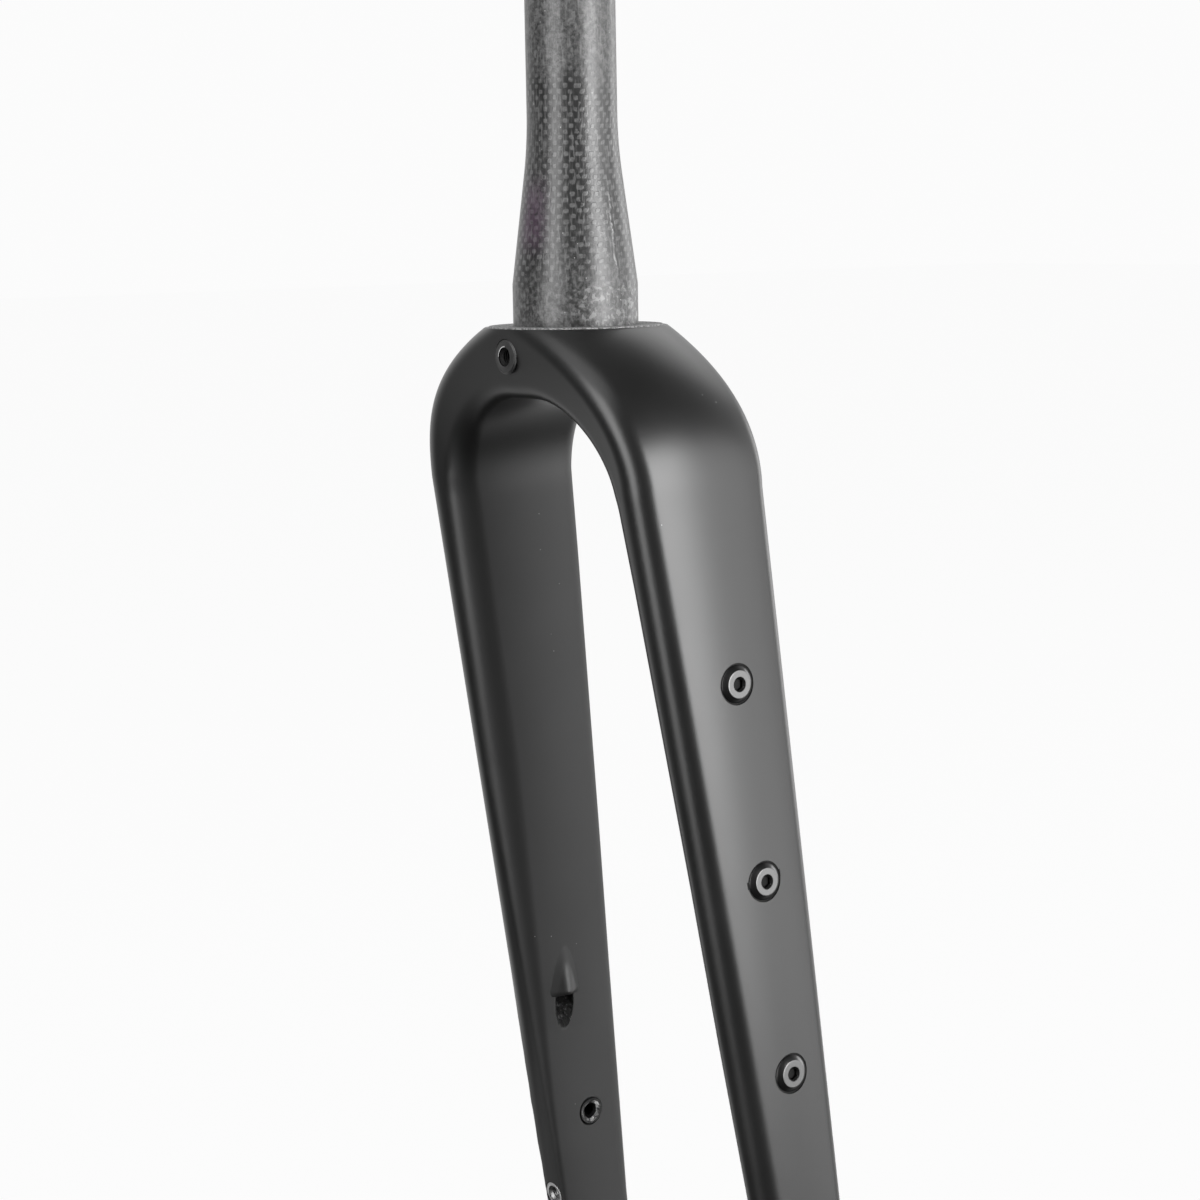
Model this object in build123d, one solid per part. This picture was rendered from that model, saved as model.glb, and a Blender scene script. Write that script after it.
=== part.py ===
"""Rigid gravel bicycle fork: a hollow moulded crown with two straight legs, a tapered
steerer tube bonded into it, and the metal inserts and bolts that are fixed in the legs.

Millimetres. The origin is the centre of the crown race seat, +X is the rider's right,
+Y is forwards and +Z runs up the steerer."""

from build123d import *
import os
from math import hypot, radians, sqrt, tan

# Fork geometry
AXLE_TO_CROWN = 395.0
RAKE = 52.0
HUB_WIDTH = 100.0
AXLE_D = 12.0
BOND_GAP = 0.1

# Steerer tube
STEERER_LENGTH = 350.0
STEERER_TOP_D = 28.6
STEERER_BASE_D = 39.8
STEERER_TOP_WALL = 2.5
STEERER_BASE_WALL = 4.0
RACE_SEAT_HEIGHT = 13.0
TAPER_TOP = 57.0
TAPER_BLEND_R = 150.0
SPIGOT_DEPTH = 14.0
SPIGOT_STEP = 0.4
SOCKET_MOUTH_GAP = 0.2
HOSE_PASSAGE_D = 8.0

# Crown
SEAT_D = 55.6
SEAT_STEP = 0.4
CROWN_DEPTH = 56.0
CROWN_END_R = 30.0
CROWN_CORNER_R = 26.0
CROWN_FLOOR_HOLE_D = 24.0
CROWN_BLOCK_HALF_WIDTH = 25.0
SHOULDER_DROP = 50.3
SHOULDER_FORWARD = 1.0
CORNER_FADE = 3.2
CROWN_FACE_TILT = 0.4

# Legs, at the shoulder and at the axle
LEG_TOP_WIDTH = 120.8
LEG_TOP_THICKNESS = 22.1
LEG_TOP_DEPTH = 51.8
LEG_TOP_FORWARD = 5.0
LEG_TOP_END_R = 97.0
LEG_CORNER_R = 6.5
LEG_FACE_TILT = 9.0
LEG_TIP_DEPTH = 25.2
LEG_TIP_FORWARD_OF_AXLE = 1.4
LEG_TIP_END_R = 45.0
OUTER_WALL = 2.6
FACE_WALL = 3.0
INNER_WALL = 3.2
CAVITY_CORNER_R = 2.0
CAVITY_END_ABOVE_AXLE = 105.0

# Tyre tunnel between the legs
TUNNEL_TOP_DROP = 20.5
TUNNEL_TOP_FLAT = 3.3
TUNNEL_EDGE_R = 6.5
TUNNEL_TILT = 6.0
DROPOUT_PAD_RISE = 75.0
DROPOUT_PAD_BLEND_R = 260.0

# Dropouts and their inserts
DROPOUT_EYE_R = 14.5
DROPOUT_OUTER_WALL = 18.0
EYE_OVER_LEG = 0.5
EYE_EDGE_R = 1.5
AXLE_SLEEVE_D = 17.0
AXLE_FLANGE_D = 21.0
AXLE_FLANGE_T = 1.5
AXLE_HEAD_RECESS = 1.6
AXLE_BORE_CLEARANCE = 0.2
AXLE_THREAD_MINOR_D = 10.4

# Cage mounts on the outside of each leg
CAGE_MOUNT_DROP = 110.0
CAGE_MOUNT_SPACING = 64.0
CAGE_SPOTFACE_DEPTH = 0.5
CAGE_SPOTFACE_GAP = 0.3
CAGE_FLANGE_D = 10.0
CAGE_FLANGE_SUNK = 0.8
CAGE_INSERT_LENGTH = 9.0
BOLT_HEAD_D = 13.2
BOLT_HEAD_EDGE = 0.7
BOLT_FACE_D = 9.4
BOLT_HEAD_HEIGHT = 1.5
BOLT_SHANK_LENGTH = 8.0
BOLT_SOCKET_AF = 3.0
BOLT_SOCKET_DEPTH = 2.6
BOLT_SOCKET_MOUTH_D = 5.2

# Threaded inserts
THREAD_D = 5.0
THREAD_CLEARANCE = 0.1
INSERT_BODY_D = 8.0
INSERT_MOUTH_D = 6.2

# Mudguard inserts on the inside of each leg
MUDGUARD_DROP = 277.0
MUDGUARD_FLANGE_D = 10.2
MUDGUARD_FLANGE_SUNK = 0.6
MUDGUARD_RIM_D = 7.8
MUDGUARD_PROUD = 1.0
MUDGUARD_INSERT_LENGTH = 7.0

# Insert in the back of the crown
CROWN_INSERT_DROP = 9.0
CROWN_FLANGE_D = 11.1
CROWN_FLANGE_SUNK = 0.5
CROWN_RIM_D = 10.1
CROWN_PROUD = 0.6
CROWN_INSERT_LENGTH = 6.0

# Flat brake mount on the back of the left leg
BRAKE_HOLE_DROP = 306.0
BRAKE_HOLE_SPACING = 70.0
BRAKE_HOLE_OFFSET = 55.0
BRAKE_PAD_INNER_TOP = 45.5
BRAKE_PAD_INNER_FOOT = 50.3
BRAKE_PAD_OUTER = 64.5
BRAKE_PAD_PROUD = 0.6
BRAKE_PAD_SKIM = 0.2
BRAKE_PAD_END = 9.0
BRAKE_PAD_FADE = 20.0
BRAKE_PAD_FADE_SUNK = 4.0
BRAKE_PAD_REACH = 24.0
BRAKE_PAD_EDGE_R = 2.5
BRAKE_PAD_BURIED = 1.5
BRAKE_INSERT_D = 8.6
BRAKE_INSERT_LENGTH = 11.0

# Hose port on the inside of the left leg
HOSE_PORT_DROP = 231.0
HOSE_PORT_BACK = 5.0
HOSE_PORT_D = 7.8
HOSE_PORT_ANGLE = 25.0
HOSE_PORT_BELOW_LIP = 4.7
HOSE_PORT_RUN = 22.0
HOSE_HOOD_LENGTH = 15.0
HOSE_HOOD_R = 6.0
HOSE_HOOD_SUNK = 2.9

STATION_COUNT = 16
STATION_GROWTH = 1.27
LEFT = -1
RIGHT = 1
OVERRUN = 20.0
LEG_SPAN = AXLE_TO_CROWN - SHOULDER_DROP
DROPOUT_FACE = HUB_WIDTH / 2 + AXLE_FLANGE_T
LEG_TIP_HALF_WIDTH = DROPOUT_FACE + DROPOUT_OUTER_WALL - EYE_OVER_LEG
LEG_TIP_FORWARD = RAKE + LEG_TIP_FORWARD_OF_AXLE
TUNNEL_TOP_WIDTH = LEG_TOP_WIDTH - 2 * LEG_TOP_THICKNESS
TUNNEL_ARCH_R = TUNNEL_TOP_WIDTH / 2 - TUNNEL_TOP_FLAT


def leg_line(top, tip, z):
    """Value at height z of a leg dimension that runs straight from the shoulder to the axle."""
    return top + (tip - top) * (-z - SHOULDER_DROP) / LEG_SPAN


def eased(crown, top, tip, z):
    """Value between the crown seat and the shoulder that runs on smoothly into the leg's line."""
    u = -z / SHOULDER_DROP
    end_slope = (tip - top) / LEG_SPAN * SHOULDER_DROP
    rise = u * u * (3 - 2 * u)
    return crown + (top - crown) * rise + end_slope * (u**3 - u**2)


def half_width(z):
    """Half the fork's overall width: a round shoulder from the seat, then straight legs."""
    top = LEG_TOP_WIDTH / 2
    if z < -SHOULDER_DROP:
        return leg_line(top, LEG_TIP_HALF_WIDTH, z)
    overhang = top - CROWN_DEPTH / 2
    shoulder_r = (overhang**2 + SHOULDER_DROP**2) / (2 * overhang)
    return top - shoulder_r + sqrt(shoulder_r**2 - (z + SHOULDER_DROP) ** 2)


def half_depth(z):
    """Half the front-to-back depth of the crown or a leg."""
    top, tip = LEG_TOP_DEPTH / 2, LEG_TIP_DEPTH / 2
    if z < -SHOULDER_DROP:
        return leg_line(top, tip, z)
    return eased(CROWN_DEPTH / 2, top, tip, z)


def forward(z):
    """How far the middle of the crown or a leg lies in front of the steerer's axis."""
    if z < -SHOULDER_DROP:
        return leg_line(LEG_TOP_FORWARD, LEG_TIP_FORWARD, z)
    u = -z / SHOULDER_DROP
    return eased(0, LEG_TOP_FORWARD, LEG_TIP_FORWARD, z) + SHOULDER_FORWARD * 4 * u * u * (1 - u)


def end_radius(z):
    """Radius of the crowned outer face, seen from above."""
    if z < -SHOULDER_DROP:
        return leg_line(LEG_TOP_END_R, LEG_TIP_END_R, z)
    return eased(CROWN_END_R, LEG_TOP_END_R, LEG_TIP_END_R, z)


def corner_radius(z):
    """Radius of the outer edges, which grows towards the round seat."""
    fade = max(0.0, 1 + z / SHOULDER_DROP)
    return LEG_CORNER_R + (CROWN_CORNER_R - LEG_CORNER_R) * fade**CORNER_FADE


def face_tilt(z):
    """Angle by which the front and back turn inwards at their outer ends."""
    if z < -SHOULDER_DROP:
        return LEG_FACE_TILT
    return eased(CROWN_FACE_TILT, LEG_FACE_TILT, LEG_FACE_TILT, z)


def outline(z, side_inset=0.0, face_inset=0.0, corner_r=None):
    """Plan section of the whole fork at height z: hollowed front and back, crowned ends."""
    a = half_width(z) - side_inset
    b = half_depth(z) - face_inset
    end_r = end_radius(z) - side_inset
    r = corner_radius(z) if corner_r is None else corner_r
    end_x = a - end_r
    corner = Vector(end_x + sqrt((end_r - r) ** 2 - (b - r) ** 2), b - r)
    reach = Vector(corner.X - end_x, corner.Y).normalized()
    lean = Vector(0, 1).rotate(Axis.Z, face_tilt(z))
    join = Vector(end_x, 0) + reach * end_r
    middle = corner + (reach + lean).normalized() * r
    start = corner + lean * r
    hollow = Vector(0, start.Y - start.X * tan(radians(face_tilt(z) / 2)))
    edges = []
    for turn in (1, -1):
        edges += [
            ThreePointArc(
                (-turn * start.X, -turn * start.Y),
                (0, -turn * hollow.Y),
                (turn * start.X, -turn * start.Y),
            ),
            ThreePointArc(
                (turn * start.X, -turn * start.Y),
                (turn * middle.X, -turn * middle.Y),
                (turn * join.X, -turn * join.Y),
            ),
            ThreePointArc(
                (turn * join.X, -turn * join.Y), (turn * a, 0), (turn * join.X, turn * join.Y)
            ),
            ThreePointArc(
                (turn * join.X, turn * join.Y),
                (turn * middle.X, turn * middle.Y),
                (turn * start.X, turn * start.Y),
            ),
        ]
    return make_face(edges)


def shell(top, bottom, section):
    """Loft through plan sections that lie closest together round the crown."""
    last = STATION_GROWTH**STATION_COUNT - 1
    shares = [(STATION_GROWTH**i - 1) / last for i in range(STATION_COUNT + 1)]
    return loft([section(top + (bottom - top) * share) for share in shares])


def envelope():
    """Outside of the crown and both legs as one block, before the tunnel is cut."""
    return shell(-SEAT_STEP, -AXLE_TO_CROWN, lambda z: Pos(0, forward(z), z) * outline(z))


def tunnel(grow=0.0):
    """Arched space for the tyre and hub, through from front to back."""
    foot = DROPOUT_FACE + grow
    pad_top = -AXLE_TO_CROWN + DROPOUT_PAD_RISE
    arch_corner = TUNNEL_TOP_WIDTH / 2 + grow
    arch_top = -TUNNEL_TOP_DROP + grow
    below = -AXLE_TO_CROWN - OVERRUN
    points = [(foot, below), (foot, pad_top), (arch_corner, arch_top)]
    points += [(-x, z) for x, z in reversed(points)]
    blend, arch = DROPOUT_PAD_BLEND_R + grow, TUNNEL_ARCH_R + grow
    sides = FilletPolyline(*points, radius=[blend, arch, arch, blend])
    profile = make_face([*sides.edges(), Line(points[-1], points[0])])
    way = Vector(0, 1, 0).rotate(Axis.X, TUNNEL_TILT)
    return extrude(Plane.XZ * profile, CROWN_DEPTH + RAKE, dir=way, both=True)


def tunnel_half_width(z):
    """Distance of a leg's inner face from the middle, along its straight stretch."""
    pad_top = AXLE_TO_CROWN - DROPOUT_PAD_RISE
    drop = forward(z) * tan(radians(TUNNEL_TILT)) - z
    share = (drop - TUNNEL_TOP_DROP) / (pad_top - TUNNEL_TOP_DROP)
    return TUNNEL_TOP_WIDTH / 2 + (DROPOUT_FACE - TUNNEL_TOP_WIDTH / 2) * share


def cavity_section(z):
    """Plan section of the hollow inside at height z, a wall's thickness in from the outside."""
    above = z + OUTER_WALL
    corner_r = max(CAVITY_CORNER_R, corner_radius(above) - FACE_WALL)
    return Pos(0, forward(z), z) * outline(above, OUTER_WALL, FACE_WALL, corner_r)


def cavity():
    """Hollow inside of both legs, up to the solid block round the steerer's socket."""
    bottom = -AXLE_TO_CROWN + CAVITY_END_ABOVE_AXLE
    block = Box(2 * CROWN_BLOCK_HALF_WIDTH, 2 * CROWN_DEPTH, 2 * AXLE_TO_CROWN)
    inside = shell(-SEAT_STEP - OUTER_WALL, bottom, cavity_section)
    return inside - tunnel(INNER_WALL) - block


def outer_plane(side, z):
    """Plane on the floor of a cage mount's spotface at height z, facing out."""
    slope = (LEG_TIP_HALF_WIDTH - LEG_TOP_WIDTH / 2) / LEG_SPAN
    face = Plane((side * half_width(z), forward(z), z), x_dir=(0, 1, 0), z_dir=(side, 0, slope))
    return face.offset(-CAGE_SPOTFACE_DEPTH)


def inner_plane(side, z, back=0.0):
    """Plane on a leg's inner face at height z, facing the wheel."""
    slope = tunnel_half_width(-1) - tunnel_half_width(0)
    origin = (side * tunnel_half_width(z), forward(z) - back, z)
    return Plane(origin, x_dir=(0, -side, 0), z_dir=(-side, 0, -slope))


def back(z):
    """Position of the back of the crown or a leg at height z."""
    return forward(z) - half_depth(z)


def brake_plane(z):
    """Plane on the brake pad at a hole's height, square to the back of the left leg."""
    origin = (-BRAKE_HOLE_OFFSET, back(z) - BRAKE_PAD_PROUD, z)
    return Plane(origin, x_dir=(1, 0, 0), z_dir=(0, -1, back(z + 1) - back(z)))


def crown_plane():
    """Plane on the back of the crown at its insert, facing the rear."""
    z = -CROWN_INSERT_DROP
    return Plane((0, back(z), z), x_dir=(1, 0, 0), z_dir=(0, -1, 0))


def hub_plane(side):
    """Plane on a dropout's hub face, square to the axle and facing the wheel."""
    origin = (side * HUB_WIDTH / 2, RAKE, -AXLE_TO_CROWN)
    return Plane(origin, x_dir=(0, 1, 0), z_dir=(-side, 0, 0))


def cage_heights():
    """Heights of the upper, middle and lower cage mounts, evenly spaced along the leg."""
    sweep = (LEG_TIP_FORWARD - LEG_TOP_FORWARD) / LEG_SPAN
    splay = (LEG_TIP_HALF_WIDTH - LEG_TOP_WIDTH / 2) / LEG_SPAN
    step = CAGE_MOUNT_SPACING / hypot(1, sweep, splay)
    return {name: -CAGE_MOUNT_DROP - step * i for i, name in enumerate(("upper", "middle", "lower"))}


def brake_heights():
    """Heights of the two brake holes along the back of the left leg."""
    upper = -BRAKE_HOLE_DROP
    lean = back(upper + 1) - back(upper)
    return {"upper": upper, "lower": upper - BRAKE_HOLE_SPACING / hypot(1, lean)}


def turned(*profile):
    """Solid of revolution about local Z from (radius, height) points."""
    return revolve(Plane.XZ * make_face(Polyline(*profile, close=True)), Axis.Z)


def pocket(plane, diameter, depth):
    """Round cutter from above a plane down to a depth below it."""
    rise = (OVERRUN - depth) / 2
    return plane * Pos(0, 0, rise) * Cylinder(diameter / 2, OVERRUN + depth)


def insert(flange_d, sunk, rim_d, proud, length):
    """Threaded insert with a flange that is let into the surface at local z = 0."""
    body, thread, mouth = INSERT_BODY_D / 2, THREAD_D / 2, INSERT_MOUTH_D / 2
    return turned(
        (thread, -length),
        (body, -length),
        (body, -sunk),
        (flange_d / 2, -sunk),
        (flange_d / 2, 0),
        (rim_d / 2, proud),
        (mouth, proud),
        (thread, proud - mouth + thread),
    )


def insert_seat(plane, flange_d, sunk, length):
    """Cutter for an insert's flange and body, with the bond gap round both."""
    flange = pocket(plane, flange_d + 2 * BOND_GAP, sunk)
    return flange + pocket(plane, INSERT_BODY_D + 2 * BOND_GAP, length)


def cage_bolt():
    """Low conical-headed bolt that stops a cage mount, with its head's underside at z = 0."""
    shank = (THREAD_D - THREAD_CLEARANCE) / 2
    blank = turned(
        (0, -BOLT_SHANK_LENGTH),
        (shank, -BOLT_SHANK_LENGTH),
        (shank, 0),
        (BOLT_HEAD_D / 2, 0),
        (BOLT_HEAD_D / 2, BOLT_HEAD_EDGE),
        (BOLT_FACE_D / 2, BOLT_HEAD_HEIGHT),
        (0, BOLT_HEAD_HEIGHT),
    )
    mouth = BOLT_SOCKET_MOUTH_D / 2
    countersink = turned((0, BOLT_HEAD_HEIGHT), (mouth, BOLT_HEAD_HEIGHT), (0, BOLT_HEAD_HEIGHT - mouth))
    socket = RegularPolygon(BOLT_SOCKET_AF / 2, 6, major_radius=False)
    return blank - countersink - Pos(0, 0, BOLT_HEAD_HEIGHT) * extrude(socket, -BOLT_SOCKET_DEPTH)


def brake_insert():
    """Plain threaded insert that ends flush with the brake pad."""
    body, thread, mouth = BRAKE_INSERT_D / 2, THREAD_D / 2, INSERT_MOUTH_D / 2
    return turned(
        (thread, -BRAKE_INSERT_LENGTH),
        (body, -BRAKE_INSERT_LENGTH),
        (body, 0),
        (mouth, 0),
        (thread, thread - mouth),
    )


def axle_insert(hole_d):
    """Flanged sleeve in a dropout: its flange takes the hub, its hole takes the axle."""
    hole, sleeve, flange = hole_d / 2, AXLE_SLEEVE_D / 2, AXLE_FLANGE_D / 2
    length = AXLE_FLANGE_T + DROPOUT_OUTER_WALL - AXLE_HEAD_RECESS
    return turned(
        (hole, -length),
        (sleeve, -length),
        (sleeve, -AXLE_FLANGE_T),
        (flange, -AXLE_FLANGE_T),
        (flange, 0),
        (hole, 0),
    )


def dropout_eye(side):
    """Round end of a leg about the axle."""
    eye = Cylinder(DROPOUT_EYE_R, DROPOUT_OUTER_WALL)
    eye = fillet(eye.edges().filter_by(GeomType.CIRCLE), EYE_EDGE_R)
    return hub_plane(side) * Pos(0, 0, -AXLE_FLANGE_T - DROPOUT_OUTER_WALL / 2) * eye


def dropout_seat(side):
    """Cutter for a dropout's sleeve and for the axle head's recess on the outside."""
    sleeve = pocket(hub_plane(side), AXLE_SLEEVE_D + 2 * BOND_GAP, 2 * OVERRUN)
    outside = -AXLE_FLANGE_T - DROPOUT_OUTER_WALL
    head = Cylinder(AXLE_FLANGE_D / 2, 2 * AXLE_HEAD_RECESS)
    return sleeve + hub_plane(side) * Pos(0, 0, outside) * head


def brake_pad():
    """Pad that swells out of the back of the left leg round the brake inserts, milled flat."""
    top = brake_heights()["upper"] + BRAKE_PAD_END
    foot = brake_heights()["lower"] - BRAKE_PAD_END
    fade_outer = BRAKE_PAD_OUTER - BRAKE_PAD_FADE_SUNK
    rough = BRAKE_PAD_PROUD + BRAKE_PAD_SKIM
    sections = []
    for z, inner, outer, proud in (
        (top + BRAKE_PAD_FADE, None, fade_outer, -BRAKE_PAD_FADE_SUNK),
        (top, BRAKE_PAD_INNER_TOP, BRAKE_PAD_OUTER, rough),
        (foot, BRAKE_PAD_INNER_FOOT, BRAKE_PAD_OUTER, rough),
        (-AXLE_TO_CROWN, None, fade_outer, -BRAKE_PAD_FADE_SUNK),
    ):
        hidden = min(tunnel_half_width(z), DROPOUT_FACE) + BRAKE_PAD_BURIED
        rear = back(z) - proud
        corners = [(-outer, rear), (-(inner or hidden), rear)]
        corners += [(-hidden, rear + BRAKE_PAD_REACH), (-outer, rear + BRAKE_PAD_REACH)]
        rim = FilletPolyline(*corners, radius=BRAKE_PAD_EDGE_R, close=True)
        sections.append(Pos(0, 0, z) * make_face(rim.edges()))
    mill = Pos(0, 0, BRAKE_PAD_OUTER / 2) * Box(2 * BRAKE_PAD_OUTER, 2 * AXLE_TO_CROWN, BRAKE_PAD_OUTER)
    return loft(sections, ruled=True) - brake_plane(top) * mill


def hose_plane():
    """Plane on the left leg's inner face at the hose port's lip, with local Y up the leg."""
    return inner_plane(LEFT, -HOSE_PORT_DROP, HOSE_PORT_BACK)


def hose_hood():
    """Teardrop hood over the hose port."""
    apex = (0, HOSE_HOOD_LENGTH)
    bulge = (HOSE_HOOD_R, HOSE_HOOD_LENGTH / 2)
    side = Bezier((HOSE_HOOD_R, 0), bulge, apex)
    profile = make_face([side, Line(apex, (0, 0)), Line((0, 0), (HOSE_HOOD_R, 0))])
    return hose_plane() * Pos(0, 0, -HOSE_HOOD_SUNK) * revolve(profile, Axis.Y)


def hose_port():
    """Slanting hole that lets the hose out downwards, under the hood's lip."""
    drill = Rot(90 - HOSE_PORT_ANGLE, 0, 0) * Cylinder(HOSE_PORT_D / 2, 2 * HOSE_PORT_RUN)
    return hose_plane() * Pos(0, -HOSE_PORT_BELOW_LIP, 0) * drill


def hose_passage():
    """Hole from inside the steerer through the crown into the left leg."""
    reach = CROWN_BLOCK_HALF_WIDTH + INNER_WALL
    drill = Rot(0, 90, 0) * Cylinder(HOSE_PASSAGE_D / 2, reach)
    return Pos(-reach / 2, 0, -SPIGOT_DEPTH / 2) * drill


def fork_body():
    """Crown and both legs: one hollow moulding with its sockets, seats and ports."""
    gap = tunnel()
    body = envelope() - gap
    rims = [e for e in body.edges() if gap.distance_to(e @ 0.5) < 1e-3 and abs((e % 0.5).Y) < 0.9]
    body = fillet(rims, TUNNEL_EDGE_R)
    body += Pos(0, 0, -OUTER_WALL) * Cylinder(SEAT_D / 2, 2 * OUTER_WALL)
    body += [dropout_eye(LEFT), dropout_eye(RIGHT), brake_pad(), hose_hood()]
    socket_r = STEERER_BASE_D / 2 - SPIGOT_STEP + BOND_GAP
    mouth_r = STEERER_BASE_D / 2 + SOCKET_MOUTH_GAP
    mouth = Pos(0, 0, (socket_r - mouth_r) / 2) * Cone(socket_r, mouth_r, mouth_r - socket_r)
    socket = Cylinder(socket_r, 2 * SPIGOT_DEPTH) + mouth
    floor_hole = Cylinder(CROWN_FLOOR_HOLE_D / 2, 4 * TUNNEL_TOP_DROP)
    cuts = [cavity(), socket, floor_hole, hose_passage(), hose_port()]
    for side in (LEFT, RIGHT):
        cuts.append(dropout_seat(side))
        wheel_side = inner_plane(side, -MUDGUARD_DROP)
        cuts.append(
            insert_seat(wheel_side, MUDGUARD_FLANGE_D, MUDGUARD_FLANGE_SUNK, MUDGUARD_INSERT_LENGTH)
        )
        for z in cage_heights().values():
            plane = outer_plane(side, z)
            cuts.append(pocket(plane, BOLT_HEAD_D + 2 * CAGE_SPOTFACE_GAP, 0))
            cuts.append(insert_seat(plane, CAGE_FLANGE_D, CAGE_FLANGE_SUNK, CAGE_INSERT_LENGTH))
    cuts.append(insert_seat(crown_plane(), CROWN_FLANGE_D, CROWN_FLANGE_SUNK, CROWN_INSERT_LENGTH))
    for z in brake_heights().values():
        cuts.append(pocket(brake_plane(z), BRAKE_INSERT_D + 2 * BOND_GAP, BRAKE_INSERT_LENGTH))
    return body - cuts


def steerer_tube():
    """Tapered tube from its spigot in the crown up to the plain cut end."""
    top, base = STEERER_TOP_D / 2, STEERER_BASE_D / 2
    tube = turned(
        (base - STEERER_BASE_WALL, -SPIGOT_DEPTH),
        (base - SPIGOT_STEP, -SPIGOT_DEPTH),
        (base - SPIGOT_STEP, 0),
        (base, 0),
        (base, RACE_SEAT_HEIGHT),
        (top, TAPER_TOP),
        (top, STEERER_LENGTH),
        (top - STEERER_TOP_WALL, STEERER_LENGTH),
        (top - STEERER_TOP_WALL, TAPER_TOP),
        (base - STEERER_BASE_WALL, RACE_SEAT_HEIGHT),
    )
    neck = tube.edges().filter_by(GeomType.CIRCLE).filter_by_position(Axis.Z, TAPER_TOP - 1, TAPER_TOP + 1)
    return fillet(neck.sort_by(SortBy.RADIUS)[-1], TAPER_BLEND_R) - hose_passage()


parts = {"fork_body": fork_body(), "steerer_tube": steerer_tube()}
parts["crown_insert"] = crown_plane() * insert(
    CROWN_FLANGE_D, CROWN_FLANGE_SUNK, CROWN_RIM_D, CROWN_PROUD, CROWN_INSERT_LENGTH
)
for side_name, side in (("left", LEFT), ("right", RIGHT)):
    for level, z in cage_heights().items():
        plane = outer_plane(side, z)
        name = f"{side_name}_{level}_cage"
        parts[f"{name}_insert"] = plane * insert(
            CAGE_FLANGE_D, CAGE_FLANGE_SUNK, INSERT_BODY_D, 0, CAGE_INSERT_LENGTH
        )
        parts[f"{name}_bolt"] = plane * cage_bolt()
    parts[f"{side_name}_mudguard_insert"] = inner_plane(side, -MUDGUARD_DROP) * insert(
        MUDGUARD_FLANGE_D,
        MUDGUARD_FLANGE_SUNK,
        MUDGUARD_RIM_D,
        MUDGUARD_PROUD,
        MUDGUARD_INSERT_LENGTH,
    )
for level, z in brake_heights().items():
    parts[f"{level}_brake_insert"] = brake_plane(z) * brake_insert()
parts["left_axle_bush"] = hub_plane(LEFT) * axle_insert(AXLE_D + AXLE_BORE_CLEARANCE)
parts["right_axle_nut"] = hub_plane(RIGHT) * axle_insert(AXLE_THREAD_MINOR_D)

os.makedirs("parts", exist_ok=True)
for name, part in parts.items():
    export_step(part, f"parts/{name}.step")
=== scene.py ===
"""Looks for the rigid gravel fork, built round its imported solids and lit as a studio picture."""

import math

import bmesh
import bpy
import numpy as np
from mathutils import Matrix, Vector


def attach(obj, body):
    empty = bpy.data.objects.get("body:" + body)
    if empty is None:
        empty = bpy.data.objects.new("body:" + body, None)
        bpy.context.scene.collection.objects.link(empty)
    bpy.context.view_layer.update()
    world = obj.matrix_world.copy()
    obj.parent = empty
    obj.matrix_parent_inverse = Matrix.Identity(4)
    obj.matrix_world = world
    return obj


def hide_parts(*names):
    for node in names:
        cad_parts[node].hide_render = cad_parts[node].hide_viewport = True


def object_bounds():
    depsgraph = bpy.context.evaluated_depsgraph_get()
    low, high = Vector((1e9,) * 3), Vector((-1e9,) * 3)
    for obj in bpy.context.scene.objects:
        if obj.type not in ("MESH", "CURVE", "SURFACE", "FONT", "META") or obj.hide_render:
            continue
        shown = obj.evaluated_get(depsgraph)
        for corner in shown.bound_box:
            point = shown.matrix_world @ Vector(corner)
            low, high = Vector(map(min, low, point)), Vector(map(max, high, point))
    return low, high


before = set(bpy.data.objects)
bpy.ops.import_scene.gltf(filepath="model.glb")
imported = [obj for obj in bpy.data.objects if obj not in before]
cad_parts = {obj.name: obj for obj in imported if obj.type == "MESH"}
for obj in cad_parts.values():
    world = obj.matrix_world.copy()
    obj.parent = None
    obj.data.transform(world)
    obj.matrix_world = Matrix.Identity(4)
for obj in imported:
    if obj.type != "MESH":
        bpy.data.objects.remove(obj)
cad_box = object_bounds()

# Moulded body: crown and both legs, laid up in carbon fibre as one hollow piece and sprayed satin black.
# The shoulders flow out of a round seat into flat-sided legs, and an arched tunnel is cut between them.
# Sizes are in millimetres from here on, and each mesh is scaled to metres when it is made.
MM = 0.001
SEAT_STEP, SEAT_R = 0.4, 27.8
CROWN_DEPTH, CROWN_END_R, CROWN_CORNER_R, CROWN_FACE_TILT = 56.0, 30.0, 26.0, 0.4
SHOULDER_DROP, SHOULDER_FORWARD, CORNER_FADE = 50.3, 1.0, 3.2
LEG_TOP_HALF_WIDTH, LEG_TIP_HALF_WIDTH = 60.4, 69.0
LEG_TOP_HALF_DEPTH, LEG_TIP_HALF_DEPTH = 25.9, 12.6
LEG_TOP_FORWARD, LEG_TIP_FORWARD = 5.0, 53.4
LEG_TOP_END_R, LEG_TIP_END_R = 97.0, 45.0
LEG_FRONT_R, LEG_REAR_R, LEG_FACE_TILT = 6.5, 8.2, 9.0
AXLE_DROP, AXLE_FORWARD = 395.0, 52.0
LEG_SPAN = AXLE_DROP - SHOULDER_DROP
ARCH_DROP, ARCH_HALF_WIDTH, ARCH_R = 20.5, 38.3, 35.0
ARCH_EDGE_R, LEG_EDGE_R, LEG_FRONT_EDGE_R, TUNNEL_TILT = 5.6, 8.2, 6.0, math.radians(6.0)
DROPOUT_FACE, PAD_DROP, PAD_BLEND_R = 51.5, 320.0, 260.0
LEFT, RIGHT = -1, 1


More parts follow.
